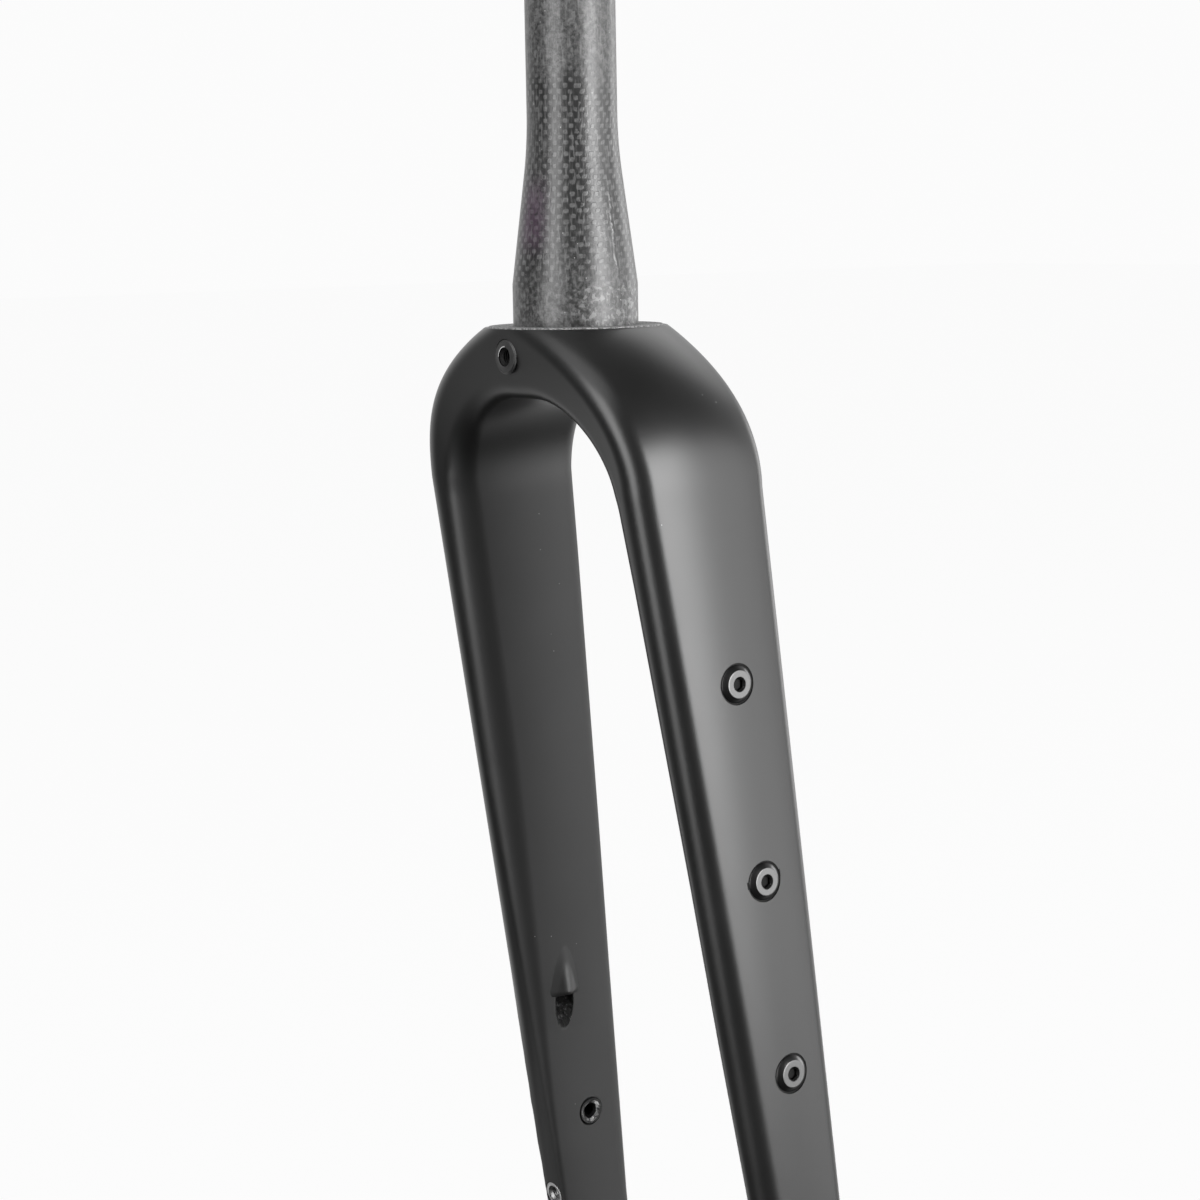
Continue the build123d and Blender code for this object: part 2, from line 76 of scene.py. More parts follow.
def down_the_fork(z, crown, top, tip):
    """A measure that eases from the crown to the shoulder, then runs straight to the leg's tip."""
    u = -z / SHOULDER_DROP
    end_slope = (tip - top) / LEG_SPAN * SHOULDER_DROP
    eased = crown + (top - crown) * u * u * (3 - 2 * u) + end_slope * (u**3 - u**2)
    straight = top + (tip - top) * (-z - SHOULDER_DROP) / LEG_SPAN
    return np.where(z < -SHOULDER_DROP, straight, eased)


def half_width(z):
    overhang = LEG_TOP_HALF_WIDTH - CROWN_DEPTH / 2
    shoulder_r = (overhang**2 + SHOULDER_DROP**2) / (2 * overhang)
    arc = np.sqrt(np.maximum(shoulder_r**2 - (z + SHOULDER_DROP) ** 2, 0))
    leg = down_the_fork(z, 0, LEG_TOP_HALF_WIDTH, LEG_TIP_HALF_WIDTH)
    return np.where(z < -SHOULDER_DROP, leg, LEG_TOP_HALF_WIDTH - shoulder_r + arc)


def half_depth(z):
    return down_the_fork(z, CROWN_DEPTH / 2, LEG_TOP_HALF_DEPTH, LEG_TIP_HALF_DEPTH)


def forward(z):
    u = np.clip(-z / SHOULDER_DROP, 0, 1)
    return down_the_fork(z, 0, LEG_TOP_FORWARD, LEG_TIP_FORWARD) + SHOULDER_FORWARD * 4 * u * u * (1 - u)


def outside(x, y, z):
    """Signed distance, in plan, from the outside of crown and legs: hollowed faces, crowned ends."""
    leg_r = np.where(y < forward(z), LEG_REAR_R, LEG_FRONT_R)
    x, y = np.abs(x), np.abs(y - forward(z))
    a, b = half_width(z), half_depth(z)
    end_r = down_the_fork(z, CROWN_END_R, LEG_TOP_END_R, LEG_TIP_END_R)
    fade = np.maximum(1 + z / SHOULDER_DROP, 0) ** CORNER_FADE
    r = leg_r + (CROWN_CORNER_R - leg_r) * fade
    tilt = np.radians(down_the_fork(z, CROWN_FACE_TILT, LEG_FACE_TILT, LEG_FACE_TILT))
    end_x = a - end_r
    corner_x, corner_y = end_x + np.sqrt(np.maximum((end_r - r) ** 2 - (b - r) ** 2, 0)), b - r
    reach_x, reach_y = (corner_x - end_x) / (end_r - r), corner_y / (end_r - r)
    face_r = (corner_x - r * np.sin(tilt)) / np.sin(tilt)
    face_y = corner_y + (r + face_r) * np.cos(tilt)
    to_end = np.hypot(x - end_x, y) - end_r
    to_face = face_r - np.hypot(x, y - face_y)
    px, py = x - corner_x, y - corner_y
    by_end = px * reach_y - py * reach_x > 0
    by_face = -np.sin(tilt) * py - np.cos(tilt) * px > 0
    rounded = np.where(by_end, to_end, np.where(by_face, to_face, np.hypot(px, py) - r))
    return np.where(by_end & by_face, np.maximum(to_end, to_face), rounded)


def tunnel(x, y, z):
    """Signed distance from the arched space for the tyre and hub."""
    x, z = np.abs(x), z - y * math.tan(TUNNEL_TILT)
    run_x, run_z = DROPOUT_FACE - ARCH_HALF_WIDTH, PAD_DROP - ARCH_DROP
    nx, nz = run_z / math.hypot(run_x, run_z), run_x / math.hypot(run_x, run_z)
    to_leg = (x - ARCH_HALF_WIDTH) * nx + (z + ARCH_DROP) * nz
    arch_x, arch_z = ARCH_HALF_WIDTH - ARCH_R * (1 - nz) / nx, -ARCH_DROP - ARCH_R
    pad_x = DROPOUT_FACE - PAD_BLEND_R
    pad_z = -ARCH_DROP + (-PAD_BLEND_R - (pad_x - ARCH_HALF_WIDTH) * nx) / nz
    qx, qz = x - pad_x, z - pad_z
    flare = np.where(qx * nz - qz * nx > 0, np.hypot(qx, qz) - PAD_BLEND_R, to_leg)
    side = np.where(qz < 0, x - DROPOUT_FACE, flare)
    px, pz = x - arch_x, z - arch_z
    arch = np.where(nx * pz - nz * px > 0, np.hypot(px, pz) - ARCH_R, side)
    return np.where(px < 0, np.where(pz > 0, z + ARCH_DROP, np.maximum(z + ARCH_DROP, side)), arch)


# The flat brake pad swells gently out of the back of the left leg, whose inner edge sharpens towards it.
BRAKE_DROP, BRAKE_SPACING, BRAKE_X, BRAKE_PROUD = 306.0, 70.0, -55.0, 0.6
PAD_OUTER, PAD_END, PAD_FADE, PAD_SUNK = 58.8, 9.0, 70.0, 4.0
PAD_BLEND, PAD_EDGE_R = 2.4, 1.6
EDGE_SHARPENS, EDGE_SHARP = -150.0, -290.0


def back_of(z):
    return forward(z) - half_depth(z)


# The legs' backs are straight under the shoulders, so two heights 1 mm apart give their lean.
BACK_LEAN = float(back_of(-299.0) - back_of(-300.0))
BRAKE_HEIGHTS = {"upper": -BRAKE_DROP, "lower": -BRAKE_DROP - BRAKE_SPACING / math.hypot(1, BACK_LEAN)}


def with_brake_pad(skin, x, y, z):
    """Blends the brake pad into the signed distance of the legs' outside."""
    away = np.maximum(z - BRAKE_HEIGHTS["upper"], BRAKE_HEIGHTS["lower"] - z) - PAD_END
    face = back_of(z) - BRAKE_PROUD + PAD_SUNK * (np.maximum(away, 0) / PAD_FADE) ** 2
    pad = np.maximum(np.maximum(face - y, y - forward(z)), np.maximum(-PAD_OUTER - x, x))
    near = np.maximum(PAD_BLEND - np.abs(skin - pad), 0)
    return np.minimum(skin, pad) - near**2 / (4 * PAD_BLEND)


EASE_FRONT, EASE_REAR, EASE_FROM = 0.4, 1.4, 0.3
EASE_TOP, EASE_TOP_RUN, EASE_FOOT, EASE_FOOT_RUN = -40.0, 40.0, -225.0, 50.0
PAD_SWELL, SWELL_FROM, SWELL_RUN = 1.8, 0.6, 1.4
SWELL_TOP, SWELL_TOP_RUN, SWELL_FOOT, SWELL_FOOT_RUN = -245.0, 45.0, -392.0, 10.0
TRIM_ABOVE = 1.8


def inner_swell(x, y, z):
    """How far the inner faces stand in from the plain tunnel: eased away to the rear, fuller by the brake."""
    s = (y - forward(z)) / half_depth(z)
    leg = np.clip((EASE_TOP - z) / EASE_TOP_RUN, 0, 1) * np.clip((z - EASE_FOOT) / EASE_FOOT_RUN, 0, 1)
    eased = EASE_FRONT - EASE_REAR * np.clip((EASE_FROM - s) / (1 + EASE_FROM), 0, 1) ** 2
    by_brake = np.clip((SWELL_TOP - z) / SWELL_TOP_RUN, 0, 1) * (x < 0)
    by_brake = by_brake * np.clip((z - SWELL_FOOT) / SWELL_FOOT_RUN, 0, 1)
    to_rear = np.clip((SWELL_FROM - s) / SWELL_RUN, 0, 1)
    return leg * eased + PAD_SWELL * by_brake * to_rear**2 * (3 - 2 * to_rear)


def body_skin(x, y, z):
    """Signed distance from the moulding: outside less tunnel, with the tunnel's rims rounded."""
    leg_r = np.where(y < forward(z), LEG_EDGE_R, LEG_FRONT_EDGE_R)
    r = ARCH_EDGE_R + (leg_r - ARCH_EDGE_R) * np.clip((-z - ARCH_DROP) / ARCH_R, 0, 1)
    sharp = np.clip((EDGE_SHARPENS - z) / (EDGE_SHARPENS - EDGE_SHARP), 0, 1) * (x < 0) * (y < forward(z))
    r = r + (PAD_EDGE_R - r) * sharp
    u, v = with_brake_pad(outside(x, y, z), x, y, z) + r, r - tunnel(x, y, z) - inner_swell(x, y, z)
    skin = np.minimum(np.maximum(u, v), 0) + np.hypot(np.maximum(u, 0), np.maximum(v, 0)) - r
    return np.maximum(skin, z - TRIM_ABOVE)


LONGEST_REACH, HALVINGS = 60.0, 34


def reach_of_skin(origin, way):
    """How far each ray runs from inside the moulding to its skin."""
    near, far = np.zeros(origin.shape[:-1]), np.full(origin.shape[:-1], LONGEST_REACH)
    for _ in range(HALVINGS):
        middle = (near + far) / 2
        within = body_skin(*np.moveaxis(origin + way * middle[..., None], -1, 0)) < 0
        near, far = np.where(within, middle, near), np.where(within, far, middle)
    return near


FAN_PIVOT, LEG_RINGS, FAN_RINGS, SIDE_POINTS, END_POINTS = -58.0, 138, 116, 34, 46
SEARCH_FROM, SEARCH_TO, SEARCH_STEPS = 5, 80, 600


def moulding_rings():
    """Rings of points round the moulding, from the left tip up over the crown to the right tip."""
    leg_z = np.linspace(-AXLE_DROP, FAN_PIVOT, LEG_RINGS, endpoint=False)
    turn = np.linspace(-math.pi / 2, math.pi / 2, FAN_RINGS)
    pivot_z = np.concatenate([leg_z, np.full(FAN_RINGS, FAN_PIVOT), leg_z[::-1]])
    angle = np.concatenate([np.full(LEG_RINGS, -math.pi / 2), turn, np.full(LEG_RINGS, math.pi / 2)])
    out = np.stack([np.sin(angle), 0 * angle, np.cos(angle)], -1)
    pivot = np.stack([0 * angle, 0 * angle, pivot_z], -1)
    steps = np.linspace(SEARCH_FROM, SEARCH_TO, SEARCH_STEPS)
    line = pivot[:, None] + out[:, None] * steps[None, :, None]
    line[..., 1] = forward(line[..., 2])
    solid = body_skin(*np.moveaxis(line, -1, 0)) < 0
    inner = steps[solid.argmax(1)]
    outer = steps[solid.shape[1] - 1 - solid[:, ::-1].argmax(1)]
    centre = pivot + out * ((inner + outer) / 2)[:, None]
    centre[:, 1] = forward(centre[:, 2])
    ahead = np.broadcast_to(np.array([0.0, 1.0, 0.0]), centre.shape)
    half = (outer - inner)[:, None] / 2
    front = np.maximum(reach_of_skin(centre, ahead)[:, None] - half, 1)
    rear = np.maximum(reach_of_skin(centre, -ahead)[:, None] - half, 1)
    share = np.linspace(0, 1, SIDE_POINTS, endpoint=False)
    sweep = np.linspace(0, math.pi, END_POINTS, endpoint=False)
    along = np.concatenate([-rear + (front + rear) * share, np.repeat(front, END_POINTS, 1),
                            front - (front + rear) * share, np.repeat(-rear, END_POINTS, 1)], 1)
    ray = np.concatenate([0 * share, sweep, 0 * share + math.pi, math.pi + sweep])
    origin = centre[:, None] + ahead[:, None] * along[..., None]
    way = out[:, None] * np.cos(ray)[None, :, None] + ahead[:, None] * np.sin(ray)[None, :, None]
    return origin + way * reach_of_skin(origin, way)[..., None]


def new_piece(name, points, faces):
    """A mesh object from points in millimetres."""
    mesh = bpy.data.meshes.new(name)
    corners = [tuple(int(i) for i in face) for face in faces]
    mesh.from_pydata([tuple(p) for p in np.asarray(points) * MM], [], corners)
    piece = bpy.data.objects.new(name, mesh)
    bpy.context.scene.collection.objects.link(piece)
    return piece


def wrap(rings, closed_ends=True):
    """Quads between neighbouring rings of equal count, and a face over each end."""
    count, around = rings.shape[:2]
    index = np.arange(count * around).reshape(count, around)
    low, high = index[:-1], index[1:]
    quads = np.stack([low, np.roll(low, -1, 1), np.roll(high, -1, 1), high], -1).reshape(-1, 4).tolist()
    if closed_ends:
        quads += [index[0, ::-1].tolist(), index[-1].tolist()]
    return rings.reshape(-1, 3), quads


def turned(profile, around=96):
    """Rings of a lathe-turned piece about local Z, from (radius, height) pairs."""
    angle = np.linspace(0, 2 * math.pi, around, endpoint=False)
    profile = np.asarray(profile, float)
    return np.stack([profile[:, :1] * np.cos(angle), profile[:, :1] * np.sin(angle),
                     np.repeat(profile[:, 1:], around, 1)], -1)


def seated(origin, x_way, z_way):
    """Matrix that sets local X and Z along two directions, with its origin at a point in millimetres."""
    z_way = Vector(z_way).normalized()
    y_way = z_way.cross(Vector(x_way)).normalized()
    x_way = y_way.cross(z_way)
    turn = Matrix((x_way, y_way, z_way)).transposed().to_4x4()
    return Matrix.Translation(Vector(origin) * MM) @ turn


WELD = 2e-7


def settle(piece, crease=33.0):
    """Welds the mesh and shades it smooth, but sharp where faces meet at more than the crease angle."""
    work = bmesh.new()
    work.from_mesh(piece.data)
    bmesh.ops.remove_doubles(work, verts=work.verts, dist=WELD)
    bmesh.ops.dissolve_degenerate(work, edges=work.edges, dist=WELD)
    bmesh.ops.recalc_face_normals(work, faces=work.faces)
    for edge in work.edges:
        edge.smooth = len(edge.link_faces) == 2 and edge.calc_face_angle(0) < math.radians(crease)
    for face in work.faces:
        face.smooth = True
    work.to_mesh(piece.data)
    work.free()
    return piece


def moulded(piece, tools, operation):
    """Joins tool shapes on to a piece, or cuts them out of it, and removes them."""
    for tool in tools:
        settle(tool)
        change = piece.modifiers.new("change", "BOOLEAN")
        change.operation, change.solver, change.object = operation, "EXACT", tool
        bpy.context.view_layer.update()
        made = bpy.data.meshes.new_from_object(piece.evaluated_get(bpy.context.evaluated_depsgraph_get()))
        piece.modifiers.clear()
        piece.data = made
    for tool in tools:
        bpy.data.objects.remove(tool)


def drill(matrix, radius, low, high, around=72):
    """Round cutter about a matrix's local Z, between two heights."""
    tool = new_piece("drill", *wrap(turned([(radius, low), (radius, high)], around)))
    tool.data.transform(matrix)
    return tool


# Planes that the fittings sit on, as in the solids.
CAGE_DROP, CAGE_SPACING, CAGE_SPOT_DEPTH, CAGE_SPOT_R = 110.0, 64.0, 0.5, 6.6
LEG_SWEEP = (LEG_TIP_FORWARD - LEG_TOP_FORWARD) / LEG_SPAN
LEG_SPLAY = (LEG_TIP_HALF_WIDTH - LEG_TOP_HALF_WIDTH) / LEG_SPAN
INNER_SPLAY = (DROPOUT_FACE - ARCH_HALF_WIDTH) / (PAD_DROP - ARCH_DROP)


def on_outer_face(side, z):
    way = Vector((side, 0, LEG_SPLAY)).normalized()
    point = Vector((side * float(half_width(z)), float(forward(z)), z)) - way * CAGE_SPOT_DEPTH
    return seated(point, (0, 1, 0), way)


def on_inner_face(side, z, back=0.0):
    drop = float(forward(z)) * math.tan(TUNNEL_TILT) - z
    x = ARCH_HALF_WIDTH + INNER_SPLAY * (drop - ARCH_DROP)
    return seated((side * x, float(forward(z)) - back, z), (0, -side, 0), (-side, 0, -INNER_SPLAY))


cage_step = CAGE_SPACING / math.hypot(1, LEG_SWEEP, LEG_SPLAY)
CAGE_HEIGHTS = {level: -CAGE_DROP - i * cage_step for i, level in enumerate(("upper", "middle", "lower"))}


def on_brake_pad(z):
    return seated((BRAKE_X, float(back_of(z)) - BRAKE_PROUD, z), (1, 0, 0), (0, -1, BACK_LEAN))


CROWN_INSERT_Z, MUDGUARD_Z = -9.0, -277.0
crown_seat_plane = seated((0, float(back_of(CROWN_INSERT_Z)), CROWN_INSERT_Z), (1, 0, 0), (0, -1, 0))
HUB_HALF_WIDTH, EYE_R, EYE_EDGE_R, EYE_OUTSIDE = 50.0, 14.5, 1.5, 69.5


def on_dropout(side):
    return seated((side * HUB_HALF_WIDTH, AXLE_FORWARD, -AXLE_DROP), (0, 1, 0), (-side, 0, 0))


body = new_piece("moulded_body", *wrap(moulding_rings()))

added = []
for side in (LEFT, RIGHT):
    low, high = HUB_HALF_WIDTH - EYE_OUTSIDE, HUB_HALF_WIDTH - DROPOUT_FACE
    bend = [math.radians(a) for a in range(0, 91, 15)]
    rim = [(EYE_R - EYE_EDGE_R + EYE_EDGE_R * math.sin(a), low + EYE_EDGE_R - EYE_EDGE_R * math.cos(a))
           for a in bend]
    rim += [(r, low + high - h) for r, h in reversed(rim)]
    eye = new_piece("eye", *wrap(turned(rim, 120)))
    eye.data.transform(on_dropout(side))
    added.append(eye)

# The hose leaves the left leg's inner face under a teardrop hood.
HOOD_LENGTH, HOOD_HALF_WIDTH, HOOD_HEIGHT, HOOD_SUNK = 16.5, 4.8, 3.4, 0.05
HOOD_SPREAD, HOOD_SIDE_DIP, HOOD_OVERRUN, HOOD_ROOT, LIP_ROUND = 9.0, 0.016, 2.5, 2.5, 2.2
HOOD_FALL, HOOD_NARROWING, HOOD_TIP_SHARE, HOOD_ROWS, HOOD_COLUMNS = 1.2, 0.45, 0.02, 72, 73
PORT_R, PORT_ANGLE, PORT_BELOW_LIP, PORT_RUN, PORT_Z, PORT_BACK = 3.9, 25.0, 4.7, 22.0, -231.0, 5.0
port_plane = on_inner_face(LEFT, PORT_Z, PORT_BACK)
up = np.linspace(-LIP_ROUND, HOOD_LENGTH + HOOD_OVERRUN, HOOD_ROWS)[:, None]
sideways = np.linspace(-HOOD_SPREAD, HOOD_SPREAD, HOOD_COLUMNS)[None, :]
narrowing = np.clip(1 - up / HOOD_LENGTH, HOOD_TIP_SHARE, 1)
lip = np.sqrt(1 - np.clip(-up / LIP_ROUND, 0, 1) ** 2)
bell = np.exp(-(sideways / (HOOD_HALF_WIDTH * narrowing**HOOD_NARROWING)) ** 2)
swell = HOOD_HEIGHT * lip * narrowing**HOOD_FALL * bell - HOOD_SUNK - HOOD_SIDE_DIP * sideways**2
sideways, up = sideways + 0 * swell, up + 0 * swell
sheet = np.stack([sideways, up, swell], -1)
under = np.stack([sideways, up, 0 * swell - HOOD_ROOT], -1)
hood = new_piece("hood", *wrap(np.concatenate([sheet, under[:, ::-1]], 1)))
hood.data.transform(port_plane)
added.append(hood)
moulded(body, added, "UNION")

TRIM_R, TRIM_TOP, FLOOR_HOLE_R, FLOOR_HOLE_FOOT, CUT_OVERRUN = 90.0, 30.0, 12.0, -40.0, 5.0
steerer_axis = Matrix.Identity(4)
cut = [drill(steerer_axis, TRIM_R, -SEAT_STEP, TRIM_TOP),
       drill(steerer_axis, FLOOR_HOLE_R, FLOOR_HOLE_FOOT, CUT_OVERRUN)]
port_axis = Matrix.Rotation(math.radians(90 - PORT_ANGLE), 4, "X")
port_bore = port_plane @ Matrix.Translation((0, -PORT_BELOW_LIP * MM, 0)) @ port_axis
cut.append(drill(port_bore, PORT_R, -PORT_RUN, PORT_RUN))
INSERT_R, BRAKE_INSERT_R, BRAKE_BUSH_LENGTH, BOND_GAP, FLANGE_GAP = 4.0, 4.3, 11.0, 0.1, 0.03
CROWN_FLANGE_R, CROWN_FLANGE_SUNK, CROWN_BUSH_LENGTH = 5.55, 0.5, 6.0
MUDGUARD_FLANGE_R, MUDGUARD_FLANGE_SUNK, MUDGUARD_BUSH_LENGTH = 5.1, 0.6, 7.0
SLEEVE_R, AXLE_FLANGE_R, HEAD_RECESS = 8.5, 10.5, 1.6
cut.append(drill(crown_seat_plane, CROWN_FLANGE_R + FLANGE_GAP, -CROWN_FLANGE_SUNK, 10.0))
cut.append(drill(crown_seat_plane, INSERT_R + BOND_GAP, -CROWN_BUSH_LENGTH, 0.0))
for side in (LEFT, RIGHT):
    plane = on_inner_face(side, MUDGUARD_Z)
    cut.append(drill(plane, MUDGUARD_FLANGE_R + BOND_GAP, -MUDGUARD_FLANGE_SUNK, 8.0))
    cut.append(drill(plane, INSERT_R + BOND_GAP, -MUDGUARD_BUSH_LENGTH, 0.0))
    plane, eye_face = on_dropout(side), HUB_HALF_WIDTH - EYE_OUTSIDE
    cut.append(drill(plane, SLEEVE_R + BOND_GAP, -30.0, CUT_OVERRUN))
    cut.append(drill(plane, AXLE_FLANGE_R, eye_face - CUT_OVERRUN, eye_face + HEAD_RECESS))
    for z in CAGE_HEIGHTS.values():
        cut.append(drill(on_outer_face(side, z), CAGE_SPOT_R, 0.0, 10.0))
for z in BRAKE_HEIGHTS.values():
    cut.append(drill(on_brake_pad(z), BRAKE_INSERT_R + BOND_GAP, -BRAKE_BUSH_LENGTH, CUT_OVERRUN))
moulded(body, cut, "DIFFERENCE")
settle(body)


class Shade:
    """A shader socket that takes part in arithmetic, on a material that it carries along."""

    def __init__(self, tree, socket=None):
        self.tree, self.socket = tree, socket

    def node(self, kind, settings=None, inputs=None, output=0):
        """Adds a node: its settings first, then the values or links of its sockets."""
        made = self.tree.nodes.new("ShaderNode" + kind)
        for key, value in (settings or {}).items():
            setattr(made, key, value)
        for key, value in (inputs or {}).items():
            if isinstance(value, Shade):
                self.tree.links.new(value.socket, made.inputs[key])
            else:
                made.inputs[key].default_value = value
        return Shade(self.tree, made.outputs[output] if made.outputs else None)

    def maths(self, operation, *values):
        return self.node("Math", {"operation": operation}, dict(enumerate(values)))

    def __add__(self, other):
        return self.maths("ADD", self, other)

    def __sub__(self, other):
        return self.maths("SUBTRACT", self, other)

    def __rsub__(self, other):
        return self.maths("SUBTRACT", other, self)

    def __mul__(self, other):
        return self.maths("MULTIPLY", self, other)

    def __truediv__(self, other):
        return self.maths("DIVIDE", self, other)

    def __lt__(self, other):
        return self.maths("LESS_THAN", self, other)

    def __gt__(self, other):
        return self.maths("GREATER_THAN", self, other)

    __radd__, __rmul__ = __add__, __mul__

    def parts(self):
        """The three axes of a vector socket."""
        split = self.node("SeparateXYZ", None, {"Vector": self}).socket.node
        return tuple(Shade(self.tree, output) for output in split.outputs)

    def between(self, low, high):
        """0 below low, 1 above high, and smooth between."""
        settings = {"interpolation_type": "SMOOTHSTEP"}
        return self.node("MapRange", settings, {"Value": self, "From Min": low, "From Max": high})

    def noise(self, place, scale, detail=2.0, rough=0.5):
        """Cloudy value about 0.5, at a scale in features per metre."""
        inputs = {"Vector": place, "Scale": scale, "Detail": detail, "Roughness": rough}
        return self.node("TexNoise", None, inputs)

    def blend(self, factor, first, second):
        """A colour between two, each a grey value, a triple or a socket."""
        inputs = {0: factor, 6: first, 7: second}
        for key in (6, 7):
            if isinstance(inputs[key], float):
                inputs[key] = (inputs[key],) * 3
            if not isinstance(inputs[key], Shade):
                inputs[key] = (*inputs[key], 1.0)
        return self.node("Mix", {"data_type": "RGBA"}, inputs, 2)

    def surface(self, relief=None, depth=0.0, **values):
        """Ends the material with one principled shader, and a bump from relief of a depth in metres."""
        inputs = {key.replace("_", " "): value for key, value in values.items()}
        if relief is not None:
            inputs["Normal"] = self.node("Bump", None, {"Height": relief, "Distance": depth})
        shader = self.node("BsdfPrincipled", None, inputs)
        self.node("OutputMaterial", None, {"Surface": shader})


def finish(name):
    """An empty material, with the place on the piece in metres as its first socket."""
    made = bpy.data.materials.new(name)
    made.use_nodes = True
    made.node_tree.nodes.clear()
    start = Shade(made.node_tree)
    return made, start.node("TexCoord", output="Object")


paint, place = finish("satin_black_paint")
cloud = place.noise(place, 40.0, 3.0)
grain = place.noise(place, 2600.0, 2.0)
SPECK_CELLS, SPECK_SIZE, SPECK_SHARE = 150.0, 0.03, 0.62
speck_inputs = {"Vector": place, "Scale": SPECK_CELLS}
speck_away = place.node("TexVoronoi", None, speck_inputs)
speck_colour = place.node("TexVoronoi", None, speck_inputs, "Color")
speck_pick = place.node("SeparateColor", None, {"Color": speck_colour})
speck = (speck_away < SPECK_SIZE) * (speck_pick > SPECK_SHARE)
# The inner faces are duller than the rest, and their colour is held at the darkest paint tone, a painted
# shade between the legs. INNER_FACE_X is where their line meets the seat's height.
INNER_FACE_X = 0.0374
x, _, z = place.parts()
from_tunnel = place.maths("ABSOLUTE", x) + INNER_SPLAY * z - INNER_FACE_X
inside = (1 - from_tunnel.between(0.001, 0.006)) * (1 - z.between(-0.06, -0.03))
hood_heights = z.between(-0.240, -0.235) * (1 - z.between(-0.216, -0.208))
on_hood = (1 - from_tunnel.between(-0.0016, -0.0006)) * hood_heights
inside = inside * (1 - 0.6 * on_hood)
# Painted shade: inside the tunnel the cloud is dropped and the tone held at its darkest.
paint_tone = place.blend(cloud * (1 - inside), 0.006, 0.010)
place.surface(grain + 0.4 * place.noise(place, 700.0), 0.000012,
              Base_Color=place.blend(speck, paint_tone, 0.16),
              Roughness=0.29 + 0.05 * cloud + 0.04 * grain + 0.32 * inside)
raw_bore, place = finish("raw_bore")
lumps = place.noise(place, 620.0, 4.0, 0.7)
place.surface(lumps, 0.003, Base_Color=place.blend(lumps.between(0.54, 0.62), 0.001, 0.11),
              Roughness=0.16 + 0.4 * lumps)


ALL_ROUND = (-4.0, 4.0)


def coat_faces(piece, coat, matrix, low, high, inner, outer, turn=ALL_ROUND):
    """Gives a second finish to the faces within bands of height, radius and angle about a matrix's Z."""
    if coat.name not in piece.data.materials:
        piece.data.materials.append(coat)
    back = matrix.inverted()
    for face in piece.data.polygons:
        p = back @ face.center / MM
        in_band = low < p.z < high and inner < math.hypot(p.x, p.y) < outer
        if in_band and turn[0] < math.atan2(p.y, p.x) < turn[1]:
            face.material_index = piece.data.materials.find(coat.name)


body.data.materials.clear()
body.data.materials.append(paint)
coat_faces(body, raw_bore, port_bore, -PORT_RUN - 1, PORT_RUN, 0.0, PORT_R + 0.05)
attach(body, "root")
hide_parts("fork_body")

# Crown seat: the flat ring on top of the crown that the headset's lower race sits on.
# It is faced after painting, so the bare laminate shows, sanded dull, and its light grey flecks are partly
# the sanded fibre and partly painted glints.
STEERER_BASE_R = 19.9
SEAT_THICKNESS, SEAT_CHAMFER, SEAT_UNDERLAP = 1.2, 0.2, 1.5
seat_bore = STEERER_BASE_R - SEAT_UNDERLAP
outline = [(seat_bore, -SEAT_THICKNESS), (SEAT_R, -SEAT_THICKNESS), (SEAT_R, -SEAT_CHAMFER),
           (SEAT_R - SEAT_CHAMFER, 0), (seat_bore, 0)]
seat = new_piece("crown_seat", *wrap(turned(outline + outline[:1], 160), False))
settle(seat)
faced, place = finish("faced_laminate")
flecks = place.noise(place, 1500.0, 3.0)
smears = place.noise(place, 260.0, 2.0)
# Flecks: partly the sanded fibre's own grey, partly painted glints.
place.surface(flecks, 0.00006, Base_Color=place.blend(flecks.between(0.4, 0.65), 0.08, 0.34),
              Roughness=0.5 + 0.3 * smears)
seat.data.materials.append(faced)
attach(seat, "root")

# Steerer: a tapered carbon tube, cut long, with the woven outer ply left bare.
# It is sanded for the bearings, so clouds of dull grey lie over the weave, and the foot is roughest.
STEERER_TOP_R, STEERER_TOP, RACE_TOP, TAPER_TOP, TAPER_BLEND_R = 14.3, 350.0, 13.0, 57.0, 150.0
STEERER_WALL, STEERER_BASE_WALL, SPIGOT_DEPTH, SPIGOT_STEP = 2.5, 4.0, 14.0, 0.4
RIM_CHAMFER, BORE_CHAMFER = 0.3, 0.2
spigot_r, foot_bore = STEERER_BASE_R - SPIGOT_STEP, STEERER_BASE_R - STEERER_BASE_WALL
top_bore = STEERER_TOP_R - STEERER_WALL
taper = math.atan((STEERER_BASE_R - STEERER_TOP_R) / (TAPER_TOP - RACE_TOP))
tangent = TAPER_BLEND_R * math.tan(taper / 2)
blend_r, blend_z = STEERER_TOP_R + TAPER_BLEND_R, TAPER_TOP + tangent
outline = [(spigot_r, -SPIGOT_DEPTH), (spigot_r, 0.0), (STEERER_BASE_R, 0.0), (STEERER_BASE_R, RACE_TOP)]
outline += [(blend_r - TAPER_BLEND_R * math.cos(a), blend_z - TAPER_BLEND_R * math.sin(a))
            for a in np.linspace(taper, 0, 13)]
outline += [(STEERER_TOP_R, STEERER_TOP - RIM_CHAMFER), (STEERER_TOP_R - RIM_CHAMFER, STEERER_TOP)]
outline += [(top_bore + BORE_CHAMFER, STEERER_TOP), (top_bore, STEERER_TOP - BORE_CHAMFER),
            (top_bore, TAPER_TOP), (foot_bore, RACE_TOP), (foot_bore, -SPIGOT_DEPTH), outline[0]]
steerer = new_piece("steerer", *wrap(turned(outline, 192), False))
settle(steerer, 25.0)
